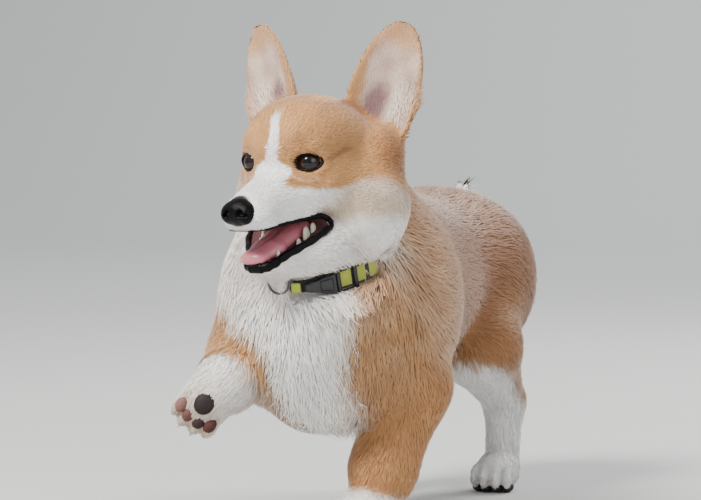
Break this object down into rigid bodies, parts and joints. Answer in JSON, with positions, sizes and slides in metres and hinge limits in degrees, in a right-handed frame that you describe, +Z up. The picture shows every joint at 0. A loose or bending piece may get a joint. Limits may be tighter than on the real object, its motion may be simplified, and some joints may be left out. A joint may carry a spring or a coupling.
{
  "type": "pembroke welsh corgi",
  "caption": "Still life-size pembroke welsh corgi stepping forward with one forepaw lifted, mouth open, wearing a webbing collar.",
  "frame": {"origin": "on the floor, below the middle of the box around the dog", "axes": "+Z up, -Y towards the nose, +X towards the dog's left side"},
  "size_m": [0.2072, 0.546, 0.4291],
  "materials": {
    "coat": "dense double coat, tan and white, soft and dry",
    "eye": "wet dark brown eye",
    "bare_skin": "black bare skin of nose, lips, lids, pads and claws",
    "tongue": "moist pink",
    "tooth": "ivory, smooth",
    "webbing": "woven yellow-green and black webbing",
    "plastic": "moulded black plastic",
    "metal": "dull dark steel"
  },
  "bodies": {
    "root": {"torso": "coat", "neck": "coat", "head": "coat", "jaw": "coat", "tail": "coat", "ear_left": "coat", "ear_right": "coat", "upper_arm_fore_left": "coat", "forearm_fore_left": "coat", "paw_fore_left": "coat", "upper_arm_fore_right": "coat", "forearm_fore_right": "coat", "paw_fore_right": "coat", "thigh_hind_left": "coat", "shank_hind_left": "coat", "hock_hind_left": "coat", "paw_hind_left": "coat", "thigh_hind_right": "coat", "shank_hind_right": "coat", "hock_hind_right": "coat", "paw_hind_right": "coat", "eye_left": "eye", "eye_right": "eye", "nose": "bare_skin", "tongue": "tongue", "collar_band": "webbing", "collar_loop": "webbing", "collar_slider": "plastic", "collar_buckle": "plastic", "collar_ring": "metal"}
  },
  "joints": []
}
